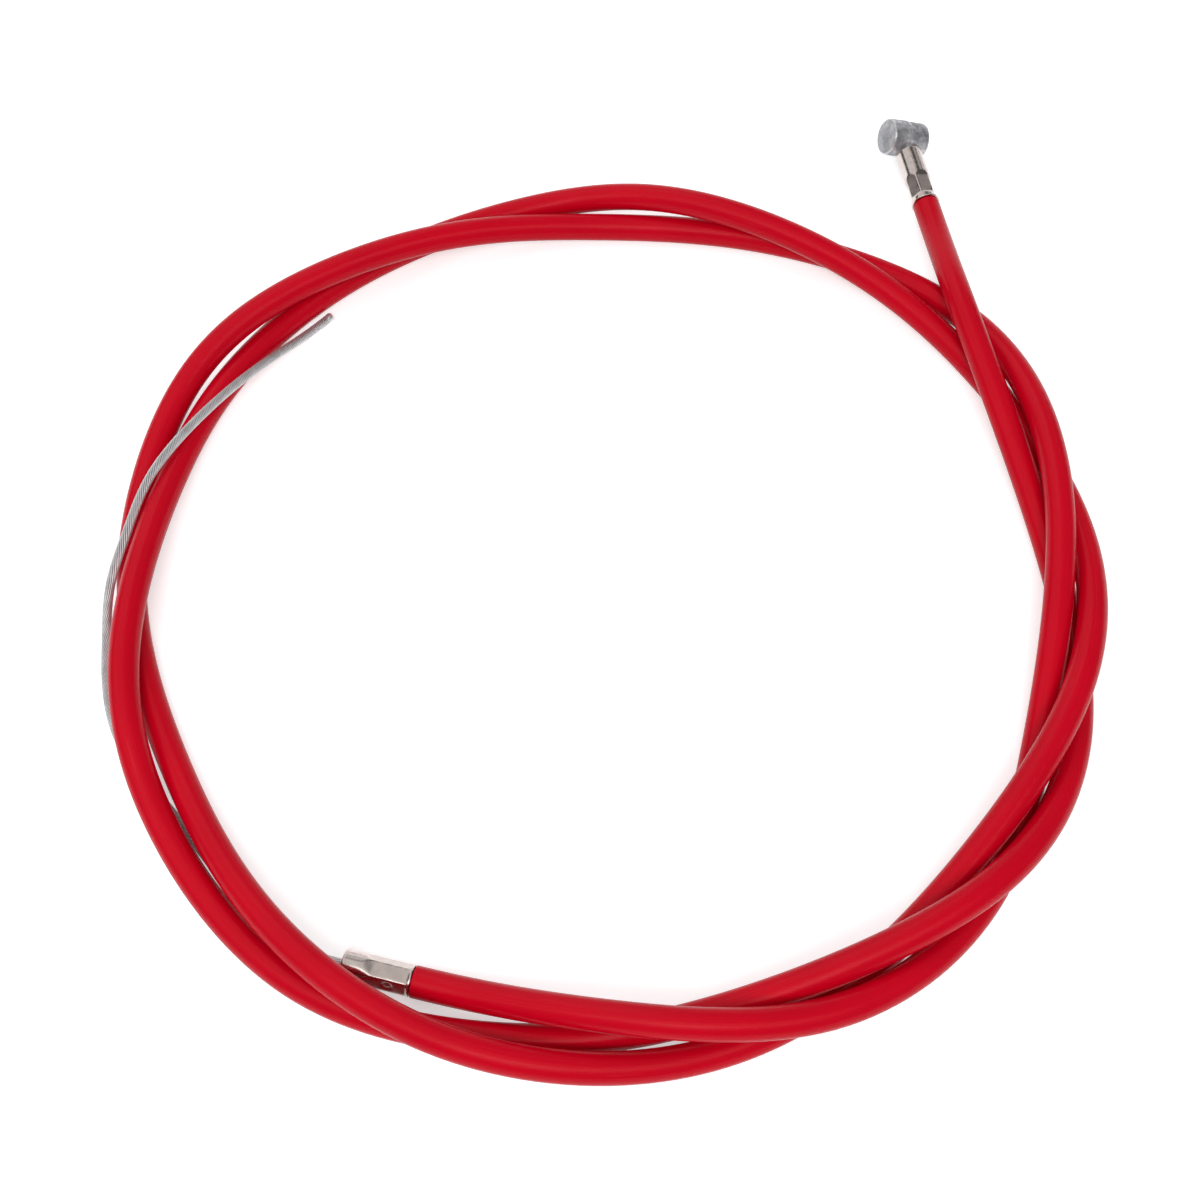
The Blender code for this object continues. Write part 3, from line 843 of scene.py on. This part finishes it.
def nipple_piece(settings):
    """The cast barrel: parting seam, sunk wire entry, unevenness of the casting, and painted highlights at
    its seam, rims and one glint.
    """
    half_length, radius = settings.length / 2, settings.diameter / 2
    centre = np.array(nipple_centre())
    axes = np.array(nipple_frame(settings).transposed())
    angles = np.arange(NIPPLE_SIDES) * 2 * math.pi / NIPPLE_SIDES
    points, straight, wear_and_glint = [], [], []
    for x, r in nipple_rows(half_length, radius):
        outside = smooth_step(r / (radius * 0.9))
        seam = bell(x - SEAM_PLACE, SEAM_WIDTH) * outside
        rim = bell(abs(x) - half_length + RIM_HIGHLIGHT_INSET, RIM_HIGHLIGHT_WIDTH) * outside
        entry = np.exp(-(np.hypot(x, r * np.cos(angles)) / ENTRY_RADIUS) ** 4) * (np.sin(angles) < 0)
        for angle, sunk in zip(angles, entry):
            local = Vector((x, r * math.sin(angle), r * math.cos(angle)))
            wave = noise.noise(local * 500.0) * 0.00006 + noise.noise(local * 2400.0) * 0.00002
            ridge = SEAM_HEIGHT * seam * (0.6 + 0.8 * noise.noise(local * 1500.0 + Vector((7, 3, 1))))
            reach = r + wave * outside + ridge - ENTRY_DEPTH * sunk * outside
            lift = wave * (1 - outside) * (1 if x > 0 else -1)
            spot = np.array((x + lift, reach * math.sin(angle), reach * math.cos(angle)))
            points.append(centre + spot @ axes)
            straight.append(spot)
            # Painted highlights, broken up by noise: along the seam, in a band at each rim, and one glint
            facing = (angle + math.pi) % (2 * math.pi) - math.pi
            glint_spot = bell(x - GLINT_PLACE, GLINT_LENGTH) * bell(facing - GLINT_ANGLE, GLINT_SPREAD) * outside
            highlight = max(0.9 * seam, 0.75 * rim, 1.5 * glint_spot)
            wear_and_glint.append(highlight * (0.75 + 0.5 * noise.noise(local * 1200.0)))
    rows = len(points) // NIPPLE_SIDES
    faces = [tuple(f) for f in grid_faces(rows, NIPPLE_SIDES, flip=True)]
    faces.append(tuple(range(NIPPLE_SIDES)))
    faces.append(tuple(range(rows * NIPPLE_SIDES - 1, (rows - 1) * NIPPLE_SIDES - 1, -1)))
    piece = mesh_piece("nipple_barrel", points, faces, straight, sharp=60.0)
    mark(piece, "press_depth_and_glint", wear_and_glint)
    return piece


def strands(line, settings):
    """Outer strands laid left-handed round the line, side by side."""
    across, over = cross_frames(line)
    lean = math.sin(math.pi / settings.outer_strands)
    strand = settings.diameter / 2 * lean / (1 + lean)
    helix = settings.diameter / 2 - strand
    tubes = []
    for k in range(settings.outer_strands):
        angle = 2 * math.pi * (k / settings.outer_strands + along(line) / settings.lay_length)
        centre = line + helix * (np.cos(angle)[:, None] * across + np.sin(angle)[:, None] * over)
        tubes.append((centre, strand, 10))
    return tubes


def fused_tip(end, settings):
    """The stretch where the strands are melted into one, with a domed end."""
    places = np.concatenate([[-settings.fused_length], np.linspace(-0.6, -0.30, 4) * settings.fused_length,
                             -TIP_DOME * np.cos(np.linspace(0, math.pi / 2, 8))])
    swell = smooth_step((places + settings.fused_length) / (settings.fused_length * 0.6))
    dome = np.sqrt(np.clip(1 - (np.clip(places + TIP_DOME, 0, None) / TIP_DOME) ** 2, 0.03, 1))
    radii = settings.diameter / 2 * (0.72 + 0.27 * swell) * (0.45 + 0.55 * dome)
    line = np.array(end) + places[:, None] * np.array(TIP_AXIS)
    return line, radii, 20


def distances_to_line(spots, line):
    """Distance from each spot to the nearest straight stretch of the line."""
    starts, runs = line[:-1], np.diff(line, axis=0)
    near = np.argmin(np.linalg.norm(spots[:, None] - (starts + runs / 2)[None], axis=2), axis=1)
    start, run = starts[near], runs[near]
    share = np.clip(((spots - start) * run).sum(axis=1) / (run ** 2).sum(axis=1), 0.0, 1.0)
    return np.linalg.norm(spots - start - share[:, None] * run, axis=1)


def mark_grooves(piece, line, settings):
    """Give a stranded piece an attribute called groove: 0 on the strands' crowns, 1 down between them, where
    its finish paints shade.
    """
    spots = np.empty(len(piece.data.vertices) * 3)
    piece.data.vertices.foreach_get("co", spots)
    spots = spots.reshape(-1, 3)
    reach = np.concatenate([distances_to_line(spots[first:first + 4000], line)
                            for first in range(0, len(spots), 4000)])
    crown = settings.diameter / 2
    laid = np.linalg.norm(spots - line[-1], axis=1) > settings.fused_length * 0.7
    groove = np.clip((crown * 0.97 - reach) / (crown * 0.22), 0.0, 1.0)
    mark(piece, "groove", groove * laid)


# Operators

class CABLE_OT_jacket(Operator):
    """Draw the red jacket as one smooth tube along the cable's route"""
    bl_idname = "cable.jacket"
    bl_label = "Red jacket"

    def execute(self, context):
        settings = context.scene.cable_housing
        line, rounding = cut_ends(housing_line(settings.station_gap))
        piece = pipe_piece("red_jacket", line, settings.jacket_diameter / 2 - rounding,
                           settings.jacket_bore / 2, settings.sides)
        finish = jacket_finish(settings.red, settings.roughness, settings.casing_pitch)
        dress(piece, finish, "red_jacket", "cable", "housing_jacket")
        return {"FINISHED"}


class CABLE_OT_layers(Operator):
    """Draw the wound strip casing and the liner inside the jacket and the ferrules"""
    bl_idname = "cable.layers"
    bl_label = "Casing and liner"

    def execute(self, context):
        settings = context.scene.cable_housing
        line = bared_line(settings.station_gap * 2, LAYERS_STOP)
        casing = pipe_piece("wound_casing", line, settings.casing_diameter / 2, settings.casing_bore / 2, 16)
        dress(casing, casing_finish(settings.casing_pitch), "casing_steel", "cable", "spiral_casing")
        liner = pipe_piece("wire_liner", line, settings.liner_diameter / 2, settings.liner_bore / 2, 12)
        dress(liner, liner_finish(), "liner_plastic", "cable", "inner_liner")
        return {"FINISHED"}


class CABLE_OT_wire(Operator):
    """Lay the wire's strands along the bare tail, and a plain core through the housing"""
    bl_idname = "cable.wire"
    bl_label = "Inner wire"

    def execute(self, context):
        settings = context.scene.cable_wire
        radius = settings.diameter / 2
        tail = bare_strand_line()
        laid = tail[:-max(1, round(settings.fused_length * 0.5 / STRAND_STEP))]
        bare = joined_tubes("bare_wire", [*strands(laid, settings), (laid, radius * CORE_SHARE, 12),
                                          fused_tip(tail[-1], settings)])
        mark_grooves(bare, tail, settings)
        dress(bare, strand_finish(settings.steel), "wire_steel", "cable", "inner_wire")
        line = housed_wire_line(HOUSED_STEP)
        housed = joined_tubes("wire_in_housing", [(line, radius * HOUSED_SHARE, 12)])
        dress(housed, housed_wire_finish(settings.steel), "wire_steel", "cable", "inner_wire")
        return {"FINISHED"}


class CABLE_OT_ferrules(Operator):
    """Draw the two crimped ferrules"""
    bl_idname = "cable.ferrules"
    bl_label = "Ferrules"

    def execute(self, context):
        settings = context.scene.cable_ferrules
        nickel = nickel_finish(settings.nickel)
        length = settings.lever_length
        end = lever_mouth() - length * LEVER_AXIS
        lever = ferrule_piece("lever_ferrule", end, LEVER_AXIS, lever_crimp(length), LEVER_DENT)
        dress(lever, nickel, "ferrule_nickel", "cable", "ferrule_lever_end")
        length = settings.brake_length
        end = brake_mouth() + length * BRAKE_AXIS
        brake = ferrule_piece("brake_ferrule", end, -BRAKE_AXIS, brake_crimp(length), BRAKE_DENT)
        dress(brake, nickel, "ferrule_nickel", "cable", "ferrule_brake_end")
        return {"FINISHED"}


class CABLE_OT_nipple(Operator):
    """Cast the barrel nipple and lay the wire's first stretch into it"""
    bl_idname = "cable.nipple"
    bl_label = "Nipple and lead"

    def execute(self, context):
        settings = context.scene.cable_nipple
        barrel = nipple_piece(settings)
        dress(barrel, zinc_finish(settings.zinc), "nipple_zinc", "pull_end", "barrel_nipple")
        wire = context.scene.cable_wire
        start = np.array(nipple_centre() - LEAD_PAST_MIDDLE * LEVER_AXIS)
        end = np.array(lever_mouth() - LEAD_GAP * LEVER_AXIS)
        line = np.linspace(start, end, 40)
        lead = joined_tubes("wire_lead", [*strands(line, wire), (line, wire.diameter / 2 * CORE_SHARE, 12)])
        mark_grooves(lead, line, wire)
        dress(lead, strand_finish(wire.steel), "wire_steel", "pull_end", "wire_lever_lead")
        return {"FINISHED"}


class CABLE_OT_cords(Operator):
    """Work out the lines of the housing and the bare wire at their path steps"""
    bl_idname = "cable.cords"
    bl_label = "Cord lengths"

    def execute(self, context):
        housing = housing_line(HOUSING_PATH_STEP)
        tail = tail_line(TAIL_PATH_STEP)
        return {"FINISHED"}


class CABLE_OT_stage(Operator):
    """Set the white floor, the soft lamps and the camera"""
    bl_idname = "cable.stage"
    bl_label = "Floor, lamps and camera"

    def execute(self, context):
        settings = context.scene.cable_studio
        place_floor(settings.floor_width)
        place_lamps()
        place_cards()
        place_camera(context.scene, settings)
        light_world(context.scene)
        context.scene.view_settings.view_transform = "Standard"
        return {"FINISHED"}


# Stage

def shown_ray(nodes):
    """1 for rays from the camera and rays seen in metal or through glass, otherwise 0."""
    path = nodes.node("ShaderNodeLightPath")
    camera, glossy, transmission = [
        Value(nodes, path.outputs[name])
        for name in ("Is Camera Ray", "Is Glossy Ray", "Is Transmission Ray")]
    return (camera + glossy + transmission).clamped()


def flat_corners(left, near, right, far, height=0.0):
    """Corners of a level rectangle."""
    return ((left, near, height), (right, near, height), (right, far, height), (left, far, height))


def place_floor(width):
    half = width / 2
    floor = mesh_piece("studio_floor", flat_corners(-half, -half, half, half), [(0, 1, 2, 3)])
    finish = Finish("white_floor")
    place = finish.attribute("place")
    grain = finish.noise(place, scale=60.0)
    finish.set(Base_Color=finish.mix(grain, (0.80, 0.80, 0.80), (0.82, 0.82, 0.82)), Roughness=0.9)
    away = finish.node("ShaderNodeVectorMath", {"operation": "LENGTH"}, {0: place}).outputs["Value"]
    glow = finish.mix(Value(finish, away).between(0.3, 1.6), (0.50, 0.50, 0.50), (0.80, 0.80, 0.80))
    finish.set(Emission_Color=finish.mix(shown_ray(finish), (0.0, 0.0, 0.0), glow))
    finish.set(Emission_Strength=1.0, Specular_IOR_Level=0.1)
    floor.data.materials.append(finish.material)


# Soft lamps: name, place, width and power
LAMPS = (
    ("lamp_over", (0.00, -0.60, 0.82), 0.45, 4.4),
    ("lamp_back", (-0.25, 0.80, 0.95), 0.70, 1.9),
    ("lamp_left", (-0.95, 0.10, 0.70), 0.60, 1.4),
)

# Cards over and round the cable, which only reflections show: name, brightness and corners
CARDS = (
    ("card_strip", 0.76, flat_corners(-2.20, -0.75, -0.20, 2.40, 1.20)),
    ("card_strip_end", 0.76, flat_corners(-0.20, 0.92, 0.05, 2.40, 1.14)),
    ("card_strip_near", 0.76, flat_corners(-0.20, -0.15, 0.15, 0.62, 1.14)),
    ("card_softbox", 2.3, flat_corners(-0.75, -0.85, 0.75, -0.22, 1.0)),
    ("card_left", 0.04, ((-2.2, -1.2, 0.02), (-2.2, 2.4, 0.02), (-2.2, 2.4, 1.0), (-2.2, -1.2, 1.0))),
    ("card_right", 0.08, flat_corners(-0.20, -2.0, 2.60, 2.4, 1.15)),
    ("card_far", 0.50, flat_corners(0.55, 1.05, 1.15, 1.85, 1.14)),
    ("card_front", 0.03, ((-1.6, -1.1, 0.02), (1.6, -1.1, 0.02), (1.6, -0.9, 1.20), (-1.6, -0.9, 1.20))),
    ("card_side", 0.05, ((1.2, -1.2, 0.02), (1.2, 1.3, 0.02), (1.2, 1.3, 1.15), (1.2, -1.2, 1.15))),
)


def place_cards():
    for name, brightness, corners in CARDS:
        card = mesh_piece(name, corners, [(0, 1, 2, 3)])
        finish = Finish(name)
        finish.set(Base_Color=(0.0, 0.0, 0.0, 1.0), Specular_IOR_Level=0.0, Roughness=1.0)
        finish.set(Emission_Color=(1.0, 0.985, 0.97, 1.0), Emission_Strength=brightness)
        card.data.materials.append(finish.material)
        card.visible_camera = False
        card.visible_diffuse = False
        card.visible_shadow = False


def place_lamps():
    for name, place, size, power in LAMPS:
        data = bpy.data.lights.new(name, "AREA")
        data.shape = "DISK"
        data.size = size
        data.energy = power
        lamp = bpy.data.objects.new(name, data)
        lamp.location = place
        lamp.rotation_euler = (-Vector(place)).to_track_quat("-Z", "Y").to_euler()
        lamp.visible_glossy = False
        bpy.context.scene.collection.objects.link(lamp)


def place_camera(scene, settings):
    """The photograph's view, from a height over the routes' own origin."""
    data = bpy.data.cameras.new("studio_camera")
    data.lens = settings.lens
    data.sensor_width = 36.0
    data.clip_start = 0.01
    camera = bpy.data.objects.new("studio_camera", data)
    camera.location = Vector((0.0, 0.0, settings.camera_height)) - Vector(LAY_CENTRE)
    camera.rotation_euler = (settings.camera_tilt, 0.0, 0.0)
    scene.collection.objects.link(camera)
    scene.camera = camera


def light_world(scene):
    """Even light from all round, and plain white wherever the background itself is seen."""
    world = bpy.data.worlds.new("studio_world")
    world.use_nodes = True
    nodes = Nodes(world.node_tree)
    light = nodes.mix(shown_ray(nodes), (0.56, 0.56, 0.57), (1.0, 1.0, 1.0))
    nodes.feed(world.node_tree.nodes["Background"].inputs["Color"], light)
    scene.world = world


class CABLE_PT_panel(Panel):
    """Lists the cable's pieces and their settings"""
    bl_idname = "CABLE_PT_panel"
    bl_label = "Brake Cable"
    bl_space_type = "VIEW_3D"
    bl_region_type = "UI"
    bl_category = "Brake Cable"

    def draw(self, context):
        for operator in OPERATORS:
            self.layout.operator(operator.bl_idname)
        for name, group in SETTINGS.items():
            box = self.layout.box()
            for prop in group.__annotations__:
                box.prop(getattr(context.scene, name), prop)


OPERATORS = (
    CABLE_OT_stage, CABLE_OT_jacket, CABLE_OT_layers, CABLE_OT_wire, CABLE_OT_ferrules,
    CABLE_OT_nipple, CABLE_OT_cords,
)


def register():
    for cls in (*SETTINGS.values(), *OPERATORS, CABLE_PT_panel):
        bpy.utils.register_class(cls)
    for name, group in SETTINGS.items():
        setattr(bpy.types.Scene, name, PointerProperty(type=group))


def unregister():
    for name in SETTINGS:
        delattr(bpy.types.Scene, name)
    for cls in (CABLE_PT_panel, *reversed(OPERATORS), *SETTINGS.values()):
        bpy.utils.unregister_class(cls)


def main():
    register()
    for operator in OPERATORS:
        group, name = operator.bl_idname.split(".")
        getattr(getattr(bpy.ops, group), name)()


if __name__ == "__main__":
    main()
